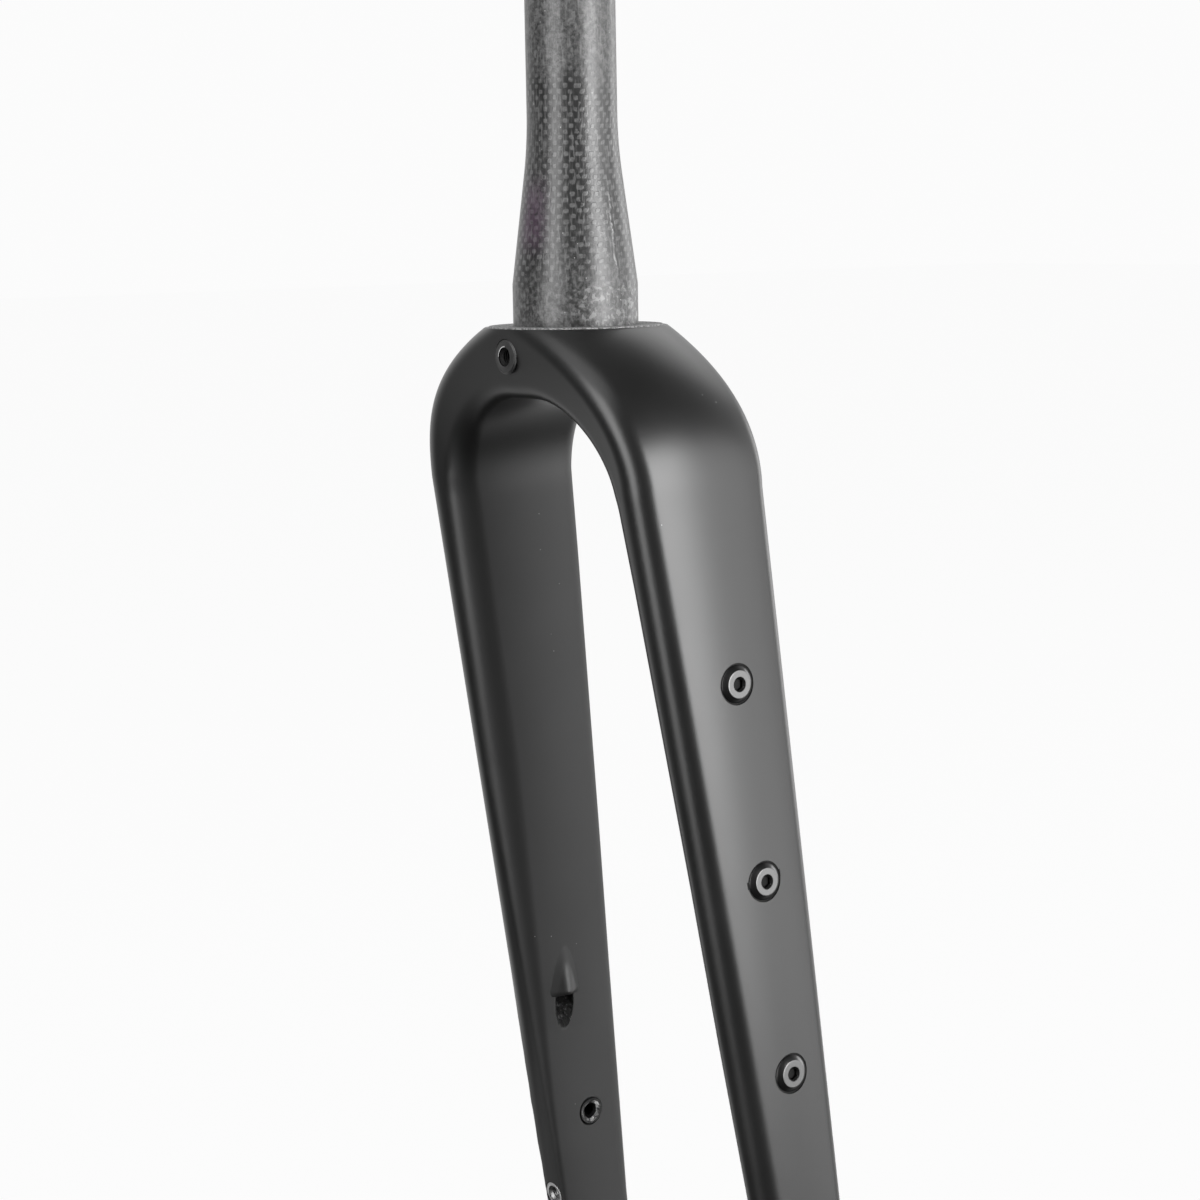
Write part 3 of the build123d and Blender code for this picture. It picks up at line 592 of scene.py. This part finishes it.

# The weave: tows run up the tube and picks round it, and each tow is painted lighter where it floats over a
# pick, a painted sheen for the light that floats of one direction reflect; the pick floats stay dark.
TOWS_ROUND, PICK_LENGTH, PLY_EDGE, SLANT_FROM, SLANT = 52, 0.00175, 0.09, -0.5, 0.34
WEAVE_TOP, FOOT_TOP = 0.074, 0.0125
carbon, place = finish("bare_woven_carbon")
x, y, z = place.parts()
angle = place.maths("ARCTAN2", y, x)
wander = place.noise(place, 85.0, 2.0) - 0.5
wobble = place.noise(place, 320.0, 2.0) - 0.5
pick = z / PICK_LENGTH + 0.8 * wander
slanted = angle + 0.2 * wobble > SLANT_FROM
tow = angle * (TOWS_ROUND / (2 * math.pi)) + 0.6 * wander - slanted * pick * SLANT
across, along = place.maths("FRACT", tow) - 0.5, place.maths("FRACT", pick) - 0.5
over = place.maths("FLOORED_MODULO", place.maths("FLOOR", tow) + place.maths("FLOOR", pick), 2.0)
bulge = (1 - 4 * across * across) * (1 - 4 * along * along)
sheen_floats = over * bulge.between(0.12, 0.62)
# Sanding: haze, streaks and a crusty foot hide parts of the weave.
stretched = place.node("VectorMath", {"operation": "MULTIPLY"}, {0: place, 1: (1.0, 1.0, 0.35)})
fibre = place.noise(stretched, 1700.0, 3.0)
cloudy = place.noise(stretched, 95.0, 4.0, 0.62)
crust = place.node("TexNoise", None, {"Vector": place, "Scale": 520.0, "Detail": 4.0, "Distortion": 0.4})
foot = 1 - (z + 0.004 * wobble).between(FOOT_TOP - 0.001, FOOT_TOP + 0.002)
top = (z + 0.016 * wander).between(WEAVE_TOP, WEAVE_TOP + 0.008)
hidden = place.maths("MAXIMUM", cloudy.between(0.5, 0.68), place.maths("MAXIMUM", top, foot))
mottle = place.noise(place, 820.0, 5.0, 0.75)
drawn = place.node("VectorMath", {"operation": "MULTIPLY"}, {0: place, 1: (1.0, 1.0, 0.12)})
streak = place.noise(drawn, 1300.0, 3.0, 0.6)
# Painted sheen: tow floats are lighter than pick floats.
woven_sheen_tone = place.blend(sheen_floats * (0.3 + 0.7 * mottle.between(0.32, 0.66)), 0.016, 0.095)
hazy_tone = place.blend(mottle.between(0.34, 0.68), 0.012, 0.095)
tone = place.blend(hidden * 0.82, woven_sheen_tone, hazy_tone)
tone = place.blend(streak.between(0.5, 0.72) * 0.55, tone, 0.15)
flecks = crust.between(0.54, 0.61) * (foot * (0.25 + 0.75 * angle.between(-1.0, -0.3)) + 0.4 * top)
tone = place.blend(flecks * 0.7, tone, 0.19)
tone = place.blend(foot * (1 - crust.between(0.36, 0.46)) * 0.8, tone, 0.012)
# The outer ply's edge is a ragged light line with a dark gap beside it, and one patch has a violet tint.
edge_away = angle - PLY_EDGE + 0.10 * wobble + 0.06 * wander
ply_edge = 1 - place.maths("ABSOLUTE", edge_away).between(0.004, 0.03)
ply_gap = 1 - place.maths("ABSOLUTE", edge_away - 0.05).between(0.004, 0.03)
lifted = 0.12 + 0.88 * z.between(0.012, 0.02) * (1 - z.between(0.036, 0.048))
tone = place.blend(ply_edge * lifted * crust.between(0.4, 0.6) * 0.75, tone, 0.26)
tone = place.blend(ply_gap * lifted * 0.8, tone, 0.008)
tint = 1 - place.maths("ABSOLUTE", angle + 1.5).between(0.1, 0.5)
tint = tint * z.between(0.020, 0.030) * (1 - z.between(0.038, 0.050))
tone = place.blend(tint * mottle.between(0.3, 0.55) * 0.5, tone, (0.075, 0.042, 0.072))
grit_away = place.node("TexVoronoi", None, {"Vector": place, "Scale": 420.0})
grit = (grit_away < 0.06) * (cloudy > 0.55)
tone = place.blend(grit, tone, 0.4)
relief = 0.6 * sheen_floats * (1 - hidden) + crust * foot + 0.7 * mottle + 0.35 * fibre
relief = relief + lifted * (ply_edge - ply_gap)
place.surface(relief, 0.00005, Base_Color=tone, Roughness=0.25 + 0.06 * hidden + 0.14 * mottle)
steerer.data.materials.append(carbon)
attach(steerer, "root")
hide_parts("steerer_tube")

# Crown insert: a black anodised threaded bush, bonded into the back of the crown for a mudguard or lamp.
# Its flange is let in flush and a low rim stands proud. One arc of the rim's lip is bright bare metal, a
# painted highlight, and the bore is painted near black, a painted shade.
CROWN_RIM_R, CROWN_PROUD, RIM_EDGE = 5.05, 0.6, 0.1
THREAD_R, THREAD_ROOT_R, THREAD_PITCH, AXIS_R, BORE_FLOOR = 2.1, 2.5, 0.8, 0.01, 0.1
MOUTH_R, MOUTH_DEPTH, LIP_WIDTH, LIP_HEIGHT, LIP_EDGE = 3.0, 0.3, 0.38, 0.12, 0.02


def threaded_mouth(proud, length):
    """Lathe outline of an insert's lip, its countersunk mouth and the rings of its thread."""
    outline = [(MOUTH_R + LIP_WIDTH, proud), (MOUTH_R + LIP_EDGE, proud + LIP_HEIGHT),
               (MOUTH_R, proud + LIP_HEIGHT - LIP_EDGE), (MOUTH_R, proud - MOUTH_DEPTH)]
    depth = proud - MOUTH_DEPTH - (MOUTH_R - THREAD_ROOT_R)
    while depth > -length + THREAD_PITCH:
        outline += [(THREAD_ROOT_R, depth), (THREAD_R, depth - THREAD_PITCH * 0.4),
                    (THREAD_R, depth - THREAD_PITCH * 0.6)]
        depth -= THREAD_PITCH
    return outline + [(THREAD_R, -length + BORE_FLOOR), (AXIS_R, -length + BORE_FLOOR)]


def threaded_bush(flange_r, sunk, rim_r, proud, length):
    """Lathe outline of an insert with a flange let in flush and a rim round its mouth."""
    flange = [(INSERT_R, -length), (INSERT_R, -sunk), (flange_r, -sunk), (flange_r, -0.02),
              (flange_r - 0.03, 0.0), (rim_r, proud - RIM_EDGE), (rim_r - RIM_EDGE, proud)]
    return flange + threaded_mouth(proud, length)


anodised, place = finish("black_anodised")
bead = place.noise(place, 3200.0, 2.0)
scuff = place.noise(place, 500.0, 2.0)
place.surface(bead, 0.00001, Base_Color=place.blend(scuff, 0.012, 0.024), Roughness=0.34 + 0.14 * bead)
# Bright bare metal, laid only on arcs where a highlight falls: a painted highlight.
highlight_metal, place = finish("highlight_metal_edge")
turn_marks = place.noise(place, 2400.0, 2.0)
place.surface(turn_marks, 0.00001, Base_Color=place.blend(turn_marks, 0.75, 0.9),
              Roughness=0.2 + 0.15 * turn_marks, Metallic=1.0)
# Near-black with little gloss, laid in holes, sockets and gaps: a painted shade.
painted_shade_black, place = finish("painted_shade_black")
place.surface(Base_Color=place.blend(place.noise(place, 900.0), 0.002, 0.005), Roughness=0.6,
              Specular_IOR_Level=0.15)


def place_insert(name, matrix, rings, node, coat):
    """Sets a turned insert in its seat, in the place of its solid."""
    ends_meet = np.allclose(rings[0], rings[-1])
    piece = new_piece(name, *wrap(rings, not ends_meet))
    piece.data.transform(matrix)
    settle(piece, 28.0)
    piece.data.materials.append(coat)
    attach(piece, "root")
    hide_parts(node)
    return piece


outline = threaded_bush(CROWN_FLANGE_R, CROWN_FLANGE_SUNK, CROWN_RIM_R, CROWN_PROUD, CROWN_BUSH_LENGTH)
crown_bush = place_insert("crown_bush", crown_seat_plane, turned(outline), "crown_insert",
                          anodised)
# Painted highlight on one arc of the lip; painted shade down the bore.
CROWN_HIGHLIGHT_ARC = (1.5, 3.15)
coat_faces(crown_bush, painted_shade_black, crown_seat_plane, -7.0, 0.8, 0.0, MOUTH_R + 0.01)
coat_faces(crown_bush, highlight_metal, crown_seat_plane, CROWN_PROUD, 1.0, MOUTH_R + LIP_EDGE, MOUTH_R + LIP_WIDTH,
           CROWN_HIGHLIGHT_ARC)

# Cage mounts: three threaded bushes down the outside of each leg, each stopped by a low conical bolt.
# The bolts are dark steel with a lighter turned face and a hexagon socket. The socket and the spotface round
# each head are painted black, a painted shade.
CAGE_FLANGE_R, CAGE_FLANGE_SUNK, CAGE_MOUTH_PROUD, CAGE_BUSH_LENGTH = 5.0, 0.8, -0.2, 9.0
HEAD_R, HEAD_EDGE_R, FACE_R, HEAD_HEIGHT, SHANK_R, SHANK_LENGTH = 5.95, 0.3, 4.4, 1.6, 2.45, 8.0
SOCKET_HALF, SOCKET_DEPTH, SOCKET_MOUTH_R, BEVEL = 1.7, 2.6, 2.25, math.radians(40)


def cage_bolt():
    """Rings of the bolt, from the shank's end over the head and down into the socket."""
    outline = [(AXIS_R, -SHANK_LENGTH), (SHANK_R, -SHANK_LENGTH), (SHANK_R, 0), (HEAD_R - 0.15, 0),
               (HEAD_R, 0.1)]
    foot = HEAD_HEIGHT - 0.05 - (HEAD_R - FACE_R) * math.tan(BEVEL)
    outline += [(HEAD_R - HEAD_EDGE_R * (1 - math.cos(a)), foot - HEAD_EDGE_R * (0.6 - math.sin(a)))
                for a in np.linspace(0, math.pi / 2 - BEVEL, 5)]
    outline += [(FACE_R + 0.06, HEAD_HEIGHT - 0.05), (FACE_R - 0.06, HEAD_HEIGHT),
                (FACE_R - 0.3, HEAD_HEIGHT), (SOCKET_MOUTH_R + 0.2, HEAD_HEIGHT),
                (SOCKET_MOUTH_R, HEAD_HEIGHT - 0.12)]
    rings = turned(outline)
    angle = np.linspace(0, 2 * math.pi, rings.shape[1], endpoint=False)
    flat = SOCKET_HALF / np.cos((angle + math.pi / 6) % (math.pi / 3) - math.pi / 6)
    hexagon = []
    for height in (HEAD_HEIGHT - 0.12 - 1.2 * (SOCKET_MOUTH_R - flat), 0 * flat + HEAD_HEIGHT - 1.3,
                   0 * flat + HEAD_HEIGHT - SOCKET_DEPTH):
        hexagon.append(np.stack([flat * np.cos(angle), flat * np.sin(angle), height], -1))
    tip_height = 0 * angle + HEAD_HEIGHT - SOCKET_DEPTH - 0.5
    tip = np.stack([AXIS_R * np.cos(angle), AXIS_R * np.sin(angle), tip_height], -1)
    return np.concatenate([rings, np.array(hexagon), tip[None]])


bolt_steel, place = finish("dark_bolt_steel")
peen = place.noise(place, 1800.0, 2.0)
place.surface(peen, 0.000001, Base_Color=place.blend(peen, 0.09, 0.11), Roughness=0.27 + 0.04 * peen,
              Metallic=1.0)
for side_name, side in (("left", LEFT), ("right", RIGHT)):
    for level, z in CAGE_HEIGHTS.items():
        plane = on_outer_face(side, z)
        # Painted shadow: the spotface's floor and wall round the head are coated black.
        coat_faces(body, painted_shade_black, plane, -0.01, CAGE_SPOT_DEPTH, -1.0, CAGE_SPOT_R + 0.03)
        outline = threaded_bush(CAGE_FLANGE_R, CAGE_FLANGE_SUNK, INSERT_R, CAGE_MOUTH_PROUD, CAGE_BUSH_LENGTH)
        place_insert(f"{side_name}_{level}_bush", plane, turned(outline),
                     f"{side_name}_{level}_cage_insert", anodised)
        bolt = new_piece(f"{side_name}_{level}_bolt", *wrap(cage_bolt()))
        bolt.data.transform(plane)
        settle(bolt, 28.0)
        bolt.data.materials.append(bolt_steel)
        # Painted shade: the socket below its mouth is coated black.
        coat_faces(bolt, painted_shade_black, plane, -2.0, HEAD_HEIGHT - 0.35, -1.0, SOCKET_MOUTH_R)
        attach(bolt, "root")
        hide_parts(f"{side_name}_{level}_cage_bolt")

# Mudguard bushes: one on the inside of each leg, a black anodised flange round a serrated conical mouth.
# The serrations bite into the stay's eyelet and have worn grey. The thread below them and the rim's outer
# cone are painted black, a painted shade, and one arc of the teeth's foot is bright bare metal, a painted
# highlight.
serrated, place = finish("worn_serrations")
wear = place.noise(place, 900.0, 2.0)
place.surface(wear, 0.00001, Base_Color=place.blend(wear.between(0.35, 0.65), 0.10, 0.42),
              Roughness=0.26 + 0.2 * wear, Metallic=0.9)
TEETH, TOOTH_POINTS, TOOTH_DEPTH, TOOTH_TOP_R, TOOTH_FOOT_R = 36, 6, 0.36, 3.85, 2.85
BUSH_RIM_R, BUSH_PROUD, MUDGUARD_HIGHLIGHT_ARC = 4.7, 1.0, (-1.3, 0.4)
for side_name, side in (("left", LEFT), ("right", RIGHT)):
    plane = on_inner_face(side, MUDGUARD_Z)
    flange = [(INSERT_R, -MUDGUARD_BUSH_LENGTH), (INSERT_R, -MUDGUARD_FLANGE_SUNK),
              (MUDGUARD_FLANGE_R, -MUDGUARD_FLANGE_SUNK), (MUDGUARD_FLANGE_R, -0.06),
              (MUDGUARD_FLANGE_R - 0.06, 0.0), (BUSH_RIM_R + 0.25, 0.02), (BUSH_RIM_R, 0.2),
              (BUSH_RIM_R - 0.25, BUSH_PROUD - 0.1), (BUSH_RIM_R - 0.35, BUSH_PROUD)]
    teeth = [(TOOTH_TOP_R, BUSH_PROUD), (TOOTH_FOOT_R, BUSH_PROUD - 0.75)]
    bore = [(TOOTH_FOOT_R - 0.12, BUSH_PROUD - 0.8), (TOOTH_FOOT_R - 0.15, BUSH_PROUD - 1.1),
            (THREAD_R, -1.0), (THREAD_R, BORE_FLOOR - MUDGUARD_BUSH_LENGTH),
            (AXIS_R, BORE_FLOOR - MUDGUARD_BUSH_LENGTH)]
    rings = turned(flange + teeth + bore, TEETH * TOOTH_POINTS)
    half_tooth = TOOTH_POINTS / 2
    wave = np.abs(np.arange(TEETH * TOOTH_POINTS) % TOOTH_POINTS - half_tooth) / half_tooth
    rings[len(flange):len(flange) + len(teeth), :, 2] -= TOOTH_DEPTH * wave
    bush = place_insert(f"{side_name}_mudguard_bush", plane, rings, f"{side_name}_mudguard_insert",
                        anodised)
    coat_faces(bush, serrated, plane, BUSH_PROUD - 1.05, BUSH_PROUD + 0.1, TOOTH_FOOT_R - 0.13,
               TOOTH_TOP_R + 0.05)
    # Painted shade down the bore and round the rim; painted highlight on one arc of the teeth's foot.
    coat_faces(bush, painted_shade_black, plane, -8.0, BUSH_PROUD - 0.85, 0.0, TOOTH_FOOT_R - 0.13)
    coat_faces(bush, painted_shade_black, plane, 0.03, BUSH_PROUD - 0.1, BUSH_RIM_R - 0.3, BUSH_RIM_R + 0.2)
    coat_faces(bush, highlight_metal, plane, -0.3, BUSH_PROUD, TOOTH_FOOT_R - 0.16, TOOTH_FOOT_R + 0.02, MUDGUARD_HIGHLIGHT_ARC)

# Brake bushes: bare aluminium bushes in the pad on the left leg, for the caliper's screws.
# They end flush with the pad, with a bright turned face and a deep thread, whose bore is painted a darker
# grey than the bush, a painted shade.
machined, place = finish("machined_aluminium")
lathe = place.noise(place, 2200.0, 2.0)
place.surface(lathe, 0.000015, Base_Color=place.blend(lathe, 0.55, 0.72), Roughness=0.24 + 0.16 * lathe,
              Metallic=1.0)
# Darker grey for the bores: a painted shade.
painted_shade_grey, place = finish("painted_shade_grey")
place.surface(Base_Color=place.blend(place.noise(place, 900.0), 0.12, 0.22), Roughness=0.4, Metallic=0.9)
for level, z in BRAKE_HEIGHTS.items():
    outline = [(BRAKE_INSERT_R, -BRAKE_BUSH_LENGTH), (BRAKE_INSERT_R, -RIM_EDGE),
               (BRAKE_INSERT_R - RIM_EDGE, 0.0)] + threaded_mouth(-LIP_HEIGHT, BRAKE_BUSH_LENGTH)
    bush = place_insert(f"{level}_brake_bush", on_brake_pad(z), turned(outline), f"{level}_brake_insert",
                        machined)
    coat_faces(bush, painted_shade_grey, on_brake_pad(z), -12.0, -0.3, 0.0, BRAKE_INSERT_R - 0.3)

# Dropout sleeves: flanged aluminium sleeves in the legs' tips, plain on the left and threaded on the right.
# Their flanges take the hub's end caps, and the through-axle passes through from the left.
AXLE_HOLE_R, AXLE_MINOR_R, AXLE_THREAD_DEPTH, AXLE_PITCH = 6.1, 5.2, 0.7, 1.5
FLANGE_T, SLEEVE_EDGE = 1.5, 0.2
satin, place = finish("satin_aluminium")
blast = place.noise(place, 1900.0, 2.0)
place.surface(blast, 0.00001, Base_Color=place.blend(blast, 0.2, 0.27), Roughness=0.42 + 0.12 * blast,
              Metallic=1.0)
SLEEVE_LENGTH = EYE_OUTSIDE - HUB_HALF_WIDTH - HEAD_RECESS
for name, side, node in (("left_axle_sleeve", LEFT, "left_axle_bush"),
                         ("right_axle_sleeve", RIGHT, "right_axle_nut")):
    hole = AXLE_HOLE_R if side == LEFT else AXLE_MINOR_R + AXLE_THREAD_DEPTH
    outline = [(hole + 0.3, -SLEEVE_LENGTH), (SLEEVE_R - SLEEVE_EDGE, -SLEEVE_LENGTH),
               (SLEEVE_R, -SLEEVE_LENGTH + SLEEVE_EDGE), (SLEEVE_R, -FLANGE_T), (AXLE_FLANGE_R, -FLANGE_T),
               (AXLE_FLANGE_R, -SLEEVE_EDGE), (AXLE_FLANGE_R - SLEEVE_EDGE, 0), (hole + 0.4, 0), (hole, -0.4)]
    depth = -0.8
    while side == RIGHT and depth > -SLEEVE_LENGTH + AXLE_PITCH:
        outline += [(hole, depth), (AXLE_MINOR_R, depth - AXLE_PITCH * 0.42),
                    (AXLE_MINOR_R, depth - AXLE_PITCH * 0.58)]
        depth -= AXLE_PITCH
    outline += [(hole, -SLEEVE_LENGTH + 0.3), outline[0]]
    place_insert(name, on_dropout(side), turned(outline), node, satin)

# Studio: a pale floor under the leg tips, two tall soft boxes beside the camera, reflectors and an overhead
# soft box round the fork, and a bright backdrop.
# The camera stands behind the fork and to its right, as in the picture.
FLOOR_Z, FLOOR_HALF = cad_box[0].z, 14.0
floor_corners = np.array([(-1, -1, 0), (1, -1, 0), (1, 1, 0), (-1, 1, 0)]) * FLOOR_HALF / MM
floor = new_piece("floor", floor_corners + np.array([0, 0, FLOOR_Z / MM]), [(0, 1, 2, 3)])
pale, place = finish("pale_floor")
place.surface(Base_Color=place.blend(place.noise(place, 3.0), 0.015, 0.02), Roughness=0.9,
              Specular_IOR_Level=0.0, Emission_Color=(1, 1, 1, 1), Emission_Strength=0.955)
floor.data.materials.append(pale)
floor.visible_diffuse = floor.visible_glossy = floor.visible_shadow = False

LOOK_AZIMUTH, LOOK_DOWN, ROLL = math.radians(52.82), math.radians(7.56), math.radians(-1.04)
CAMERA_PLACE, SENSOR_WIDTH, FOCAL_PIXELS, FRAME_PIXELS = (0.76154, -0.57002, 0.0378), 36.0, 2982, 1200
camera_data = bpy.data.cameras.new("camera")
camera_data.sensor_width, camera_data.lens = SENSOR_WIDTH, SENSOR_WIDTH * FOCAL_PIXELS / FRAME_PIXELS
camera_data.clip_start, camera_data.clip_end = 0.05, 60
camera = bpy.data.objects.new("camera", camera_data)
look = Vector((-math.sin(LOOK_AZIMUTH) * math.cos(LOOK_DOWN), math.cos(LOOK_AZIMUTH) * math.cos(LOOK_DOWN),
               -math.sin(LOOK_DOWN)))
horizon = Vector((math.cos(LOOK_AZIMUTH), math.sin(LOOK_AZIMUTH), 0))
upright = horizon.cross(look)
camera_right = horizon * math.cos(ROLL) + upright * math.sin(ROLL)
camera_up = upright * math.cos(ROLL) - horizon * math.sin(ROLL)
camera_turn = Matrix((camera_right, camera_up, -look)).transposed().to_4x4()
camera.matrix_world = Matrix.Translation(CAMERA_PLACE) @ camera_turn
bpy.context.scene.collection.objects.link(camera)
bpy.context.scene.camera = camera

MIDDLE, LIGHT_DISTANCE = Vector((0.0, 0.02, -0.12)), 2.4


def soft_box(name, turn, rise, width, height, radiance):
    """An evenly bright rectangle facing the fork, at degrees round from the +X axis and up from level."""
    turn, rise = math.radians(turn), math.radians(rise)
    lamp = bpy.data.lights.new(name, "AREA")
    lamp.shape, lamp.size, lamp.size_y = "RECTANGLE", width, height
    lamp.energy = radiance * math.pi * width * height
    box = bpy.data.objects.new(name, lamp)
    way = Vector((math.cos(turn) * math.cos(rise), math.sin(turn) * math.cos(rise), math.sin(rise)))
    box.location = MIDDLE + way * LIGHT_DISTANCE
    box.rotation_mode = "QUATERNION"
    box.rotation_quaternion = way.to_track_quat("Z", "Y")
    box.visible_camera = False
    bpy.context.scene.collection.objects.link(box)


soft_box("left_soft_box", -80, 10, 1.15, 3.2, 6.6)
soft_box("right_soft_box", 13, 4.5, 1.15, 1.78, 10.5)
soft_box("right_reflector", 33, 4.5, 2.7, 1.68, 3.2)
soft_box("front_reflector", 90, 5, 1.2, 1.3, 2.5)
soft_box("low_reflector", 50, -18, 1.6, 0.6, 1.9)
soft_box("back_reflector", 108, 42, 1.4, 1.2, 1.0)
soft_box("floor_reflector", 136, -26, 1.2, 0.7, 4.5)
soft_box("overhead_soft_box", -84, 62, 2.0, 1.5, 1.9)

world = bpy.data.worlds.new("studio")
world.use_nodes = True
world.node_tree.nodes.clear()
bpy.context.scene.world = world
BACKDROP_X, BACKDROP_Y, ROOM_GLOW, BACKDROP_GLOW, BACKDROP_SEEN = -0.797, 0.605, 0.032, 0.89, 0.968
WHITE = (1, 1, 1, 1)
room = Shade(world.node_tree)
x, y, z = room.node("TexCoord", output="Generated").parts()
behind = (x * BACKDROP_X + y * BACKDROP_Y).between(-0.05, 0.8)
seen = room.node("LightPath", output="Is Camera Ray")
strength = (ROOM_GLOW + BACKDROP_GLOW * behind) * (1 - 0.1 * z.between(0.4, 0.9))
glow = room.node("Background", None, {"Color": WHITE, "Strength": strength})
plain = room.node("Background", None, {"Color": WHITE, "Strength": BACKDROP_SEEN})
both = room.node("MixShader", None, {0: seen, 1: glow, 2: plain})
room.node("OutputWorld", None, {"Surface": both})
bpy.context.scene.view_settings.view_transform = "Standard"
